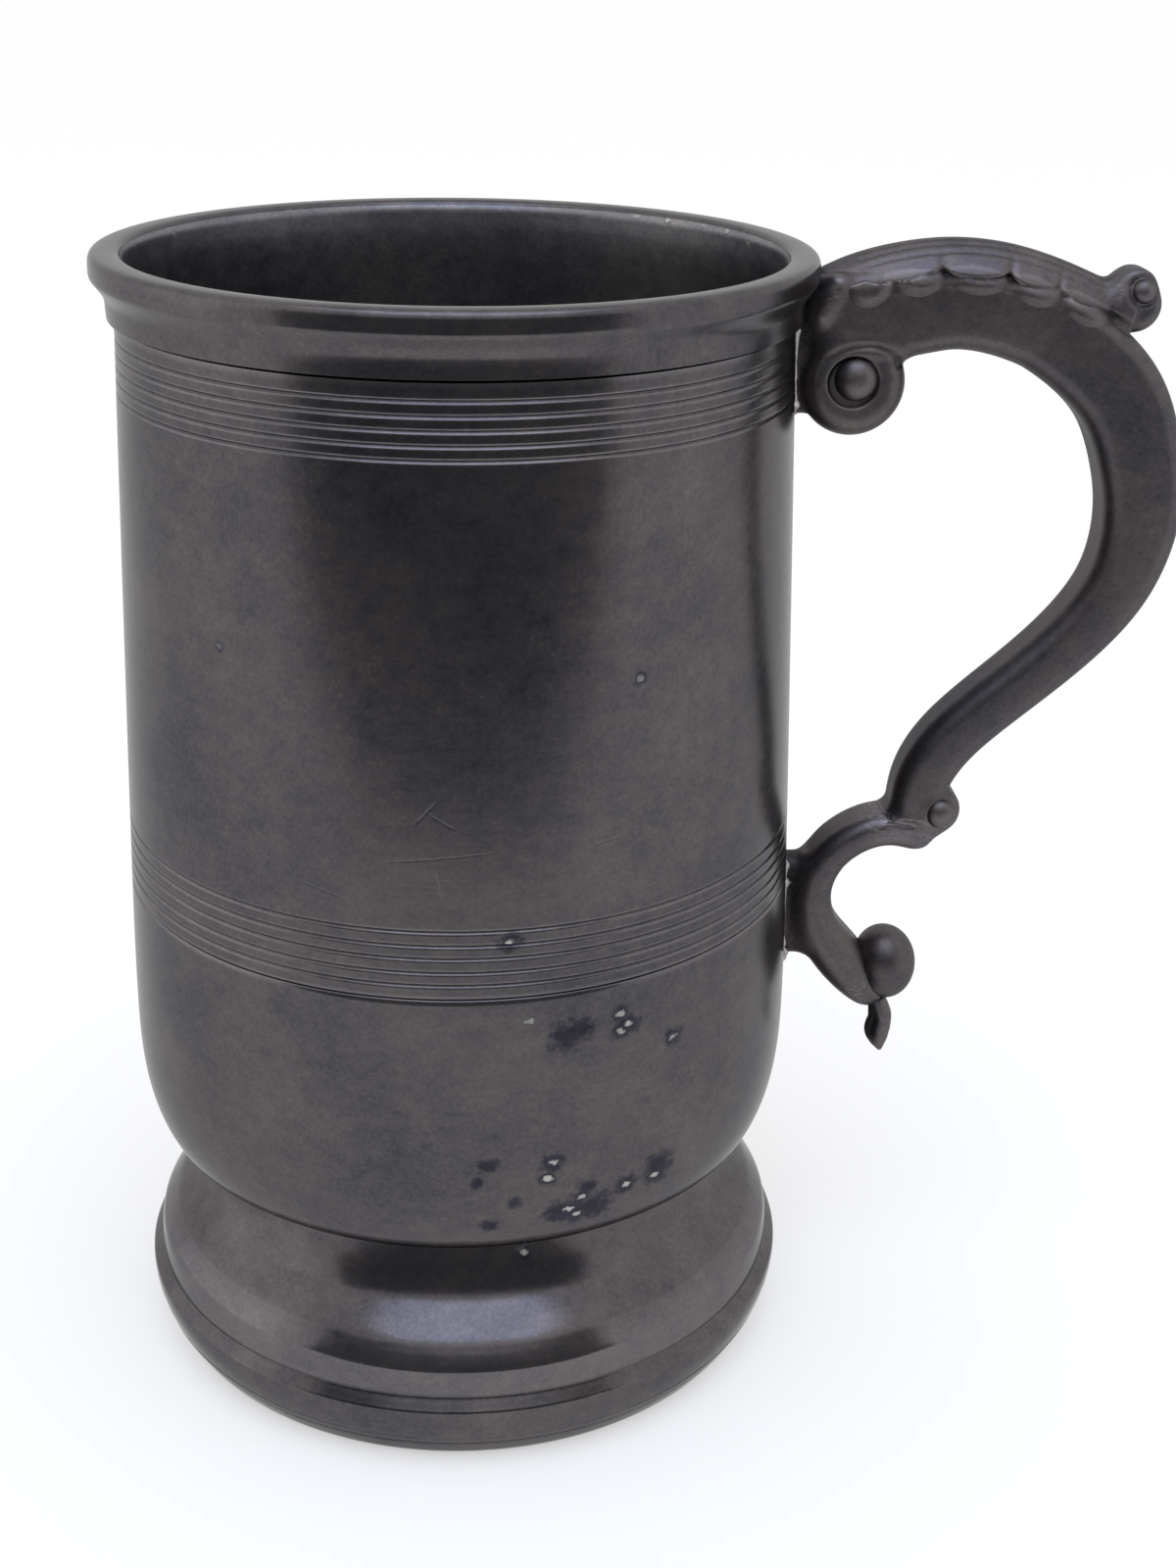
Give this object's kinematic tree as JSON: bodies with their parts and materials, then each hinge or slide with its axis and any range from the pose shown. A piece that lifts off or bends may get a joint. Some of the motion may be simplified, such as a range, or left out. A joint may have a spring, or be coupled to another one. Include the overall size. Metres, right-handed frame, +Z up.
{
  "type": "beer mug",
  "caption": "Lidless pewter beer mug: a tapered turned body with bands of turned lines, a spreading foot and a cast double-scroll handle with an acanthus thumb leaf.",
  "frame": {"origin": "on the table, under the middle of the whole mug's box, handle included; the cup's upright axis stands 23.45 mm from it along -X", "axes": "+Z up along the cup's axis, +X towards the handle, +Y across the handle"},
  "size_m": [0.135, 0.088, 0.1469],
  "materials": {
    "body_pewter": "dark satin pewter with a dull patina and fine turning lines",
    "handle_pewter": "darker cast pewter, smooth, rubbed bright on its edges",
    "solder": "brighter tin solder, filed"
  },
  "bodies": {
    "root": {"lip_ring": "body_pewter", "drum": "body_pewter", "bowl": "body_pewter", "floor_disc": "body_pewter", "foot": "body_pewter", "floor_solder": "solder", "foot_solder": "solder", "upper_solder": "solder", "lower_solder": "solder", "handle_upper_scroll": "handle_pewter", "handle_lower_scroll": "handle_pewter", "thumb_leaf": "handle_pewter", "volute_boss_front": "handle_pewter", "volute_boss_back": "handle_pewter", "leaf_boss_front": "handle_pewter", "leaf_boss_back": "handle_pewter", "knop_boss_front": "handle_pewter", "knop_boss_back": "handle_pewter", "bud": "handle_pewter", "leaf_tip": "handle_pewter"}
  },
  "joints": []
}
